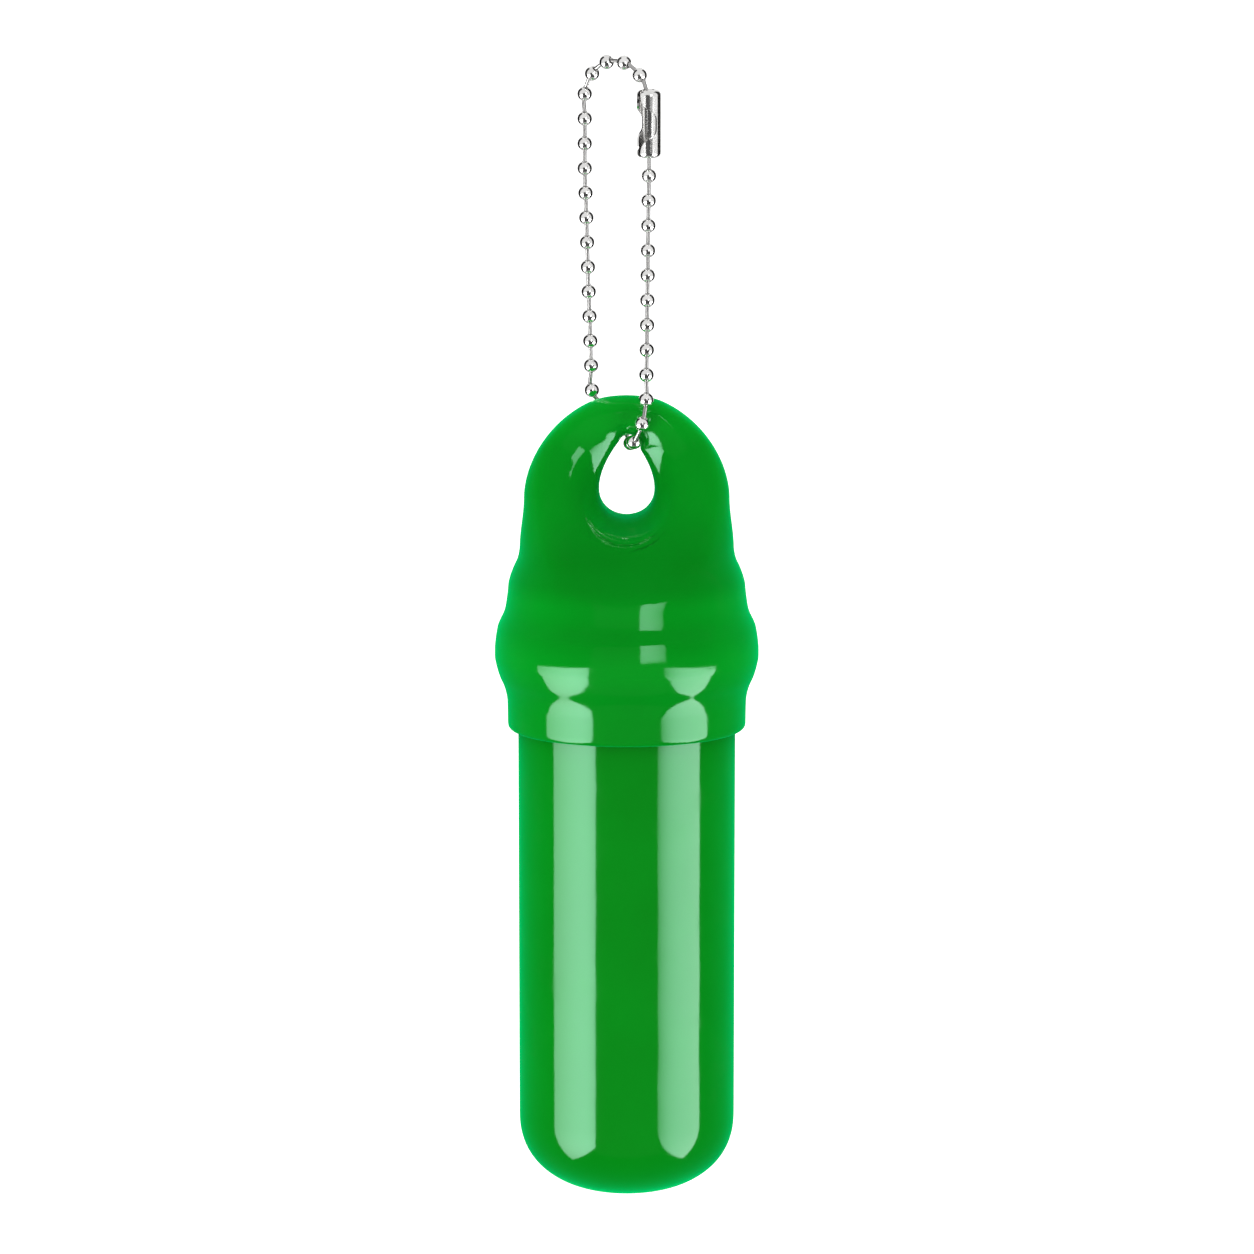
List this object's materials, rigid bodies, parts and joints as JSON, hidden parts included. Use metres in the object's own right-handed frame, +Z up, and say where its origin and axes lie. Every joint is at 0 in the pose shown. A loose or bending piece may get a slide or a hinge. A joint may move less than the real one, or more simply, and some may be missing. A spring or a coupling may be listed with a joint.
{
  "type": "floating key container",
  "caption": "Floating key container: a soft vinyl tube and its moulded pull-off cap, hung by the cap's teardrop eye on a steel ball chain with a rolled connector.",
  "frame": {"origin": "the point under the top bead of the chain's arch where a hook or a finger holds it", "axes": "+Z up along the hanging container, front of the cap's eye facing -Y, +X to the right seen from the front"},
  "size_m": [0.0422, 0.0422, 0.1848],
  "materials": {
    "nickel": "bright nickel plate",
    "nickel_sleeve": "bright nickel plate on rolled sheet",
    "vinyl_cap": "glossy green soft vinyl",
    "vinyl_tube": "glossy green soft vinyl"
  },
  "bodies": {
    "chain_arch": {"chain_link_01": "nickel", "chain_link_02": "nickel", "chain_link_03": "nickel", "chain_link_04": "nickel", "chain_link_05": "nickel", "chain_link_06": "nickel", "chain_link_07": "nickel", "chain_link_08": "nickel", "chain_link_34": "nickel"},
    "connector": {"connector": "nickel_sleeve"},
    "chain_pair_01": {"chain_link_09": "nickel", "chain_link_33": "nickel"},
    "chain_pair_02": {"chain_link_10": "nickel", "chain_link_32": "nickel"},
    "chain_pair_03": {"chain_link_11": "nickel", "chain_link_31": "nickel"},
    "chain_pair_04": {"chain_link_12": "nickel", "chain_link_30": "nickel"},
    "chain_pair_05": {"chain_link_13": "nickel", "chain_link_29": "nickel"},
    "chain_pair_06": {"chain_link_14": "nickel", "chain_link_28": "nickel"},
    "chain_pair_07": {"chain_link_15": "nickel", "chain_link_27": "nickel"},
    "chain_pair_08": {"chain_link_16": "nickel", "chain_link_26": "nickel"},
    "chain_pair_09": {"chain_link_17": "nickel", "chain_link_25": "nickel"},
    "chain_pair_10": {"chain_link_18": "nickel", "chain_link_24": "nickel"},
    "chain_eye": {"chain_link_19": "nickel", "chain_link_20": "nickel", "chain_link_21": "nickel", "chain_link_22": "nickel", "chain_link_23": "nickel"},
    "cap": {"cap": "vinyl_cap"},
    "tube": {"tube": "vinyl_tube"}
  },
  "joints": [
    {"name": "connector_spin", "type": "hinge", "parent": "chain_arch", "child": "connector", "pos_m": [0.00513, -0.00462, -0.00811], "axis": [0, 0, 1], "continuous": true},
    {"name": "bend_01", "type": "hinge", "parent": "chain_arch", "child": "chain_pair_01", "pos_m": [0, 0, -0.01543], "axis": [0.7431, -0.6691, 0.0011], "range_deg": [-15, 15]},
    {"name": "bend_02", "type": "hinge", "parent": "chain_pair_01", "child": "chain_pair_02", "pos_m": [0.00003, 0, -0.01943], "axis": [0.7359, -0.6771, 0.001], "range_deg": [-15, 15]},
    {"name": "bend_03", "type": "hinge", "parent": "chain_pair_02", "child": "chain_pair_03", "pos_m": [0.00007, 0, -0.02343], "axis": [0.7257, -0.688, 0.0009], "range_deg": [-15, 15]},
    {"name": "bend_04", "type": "hinge", "parent": "chain_pair_03", "child": "chain_pair_04", "pos_m": [0.00011, 0, -0.02743], "axis": [0.7153, -0.6988, 0.0008], "range_deg": [-15, 15]},
    {"name": "bend_05", "type": "hinge", "parent": "chain_pair_04", "child": "chain_pair_05", "pos_m": [0.00015, 0, -0.03143], "axis": [0.7047, -0.7095, 0.0006], "range_deg": [-15, 15]},
    {"name": "bend_06", "type": "hinge", "parent": "chain_pair_05", "child": "chain_pair_06", "pos_m": [0.00018, 0, -0.03542], "axis": [0.6939, -0.7201, 0.0005], "range_deg": [-15, 15]},
    {"name": "bend_07", "type": "hinge", "parent": "chain_pair_06", "child": "chain_pair_07", "pos_m": [0.00022, 0, -0.03942], "axis": [0.6828, -0.7306, 0.0004], "range_deg": [-15, 15]},
    {"name": "bend_08", "type": "hinge", "parent": "chain_pair_07", "child": "chain_pair_08", "pos_m": [0.00026, 0, -0.04342], "axis": [0.6716, -0.7409, 0.0003], "range_deg": [-15, 15]},
    {"name": "bend_09", "type": "hinge", "parent": "chain_pair_08", "child": "chain_pair_09", "pos_m": [0.0003, 0, -0.04742], "axis": [0.6601, -0.7512, 0.0002], "range_deg": [-15, 15]},
    {"name": "bend_10", "type": "hinge", "parent": "chain_pair_09", "child": "chain_pair_10", "pos_m": [0.00034, 0, -0.05142], "axis": [0.6484, -0.7613, 0], "range_deg": [-15, 15]},
    {"name": "bend_11", "type": "hinge", "parent": "chain_pair_10", "child": "chain_eye", "pos_m": [0.00102, 0.00003, -0.05508], "axis": [0.5298, -0.8467, -0.0488], "range_deg": [-15, 15]},
    {"name": "cap_swing", "type": "hinge", "parent": "chain_eye", "child": "cap", "pos_m": [0.0016, 0, -0.06101], "axis": [0, 1, 0], "range_deg": [-30, 30]},
    {"name": "tube_pull", "type": "slide", "parent": "cap", "child": "tube", "axis": [0, 0, -1], "range_m": [0, 0.06]}
  ]
}
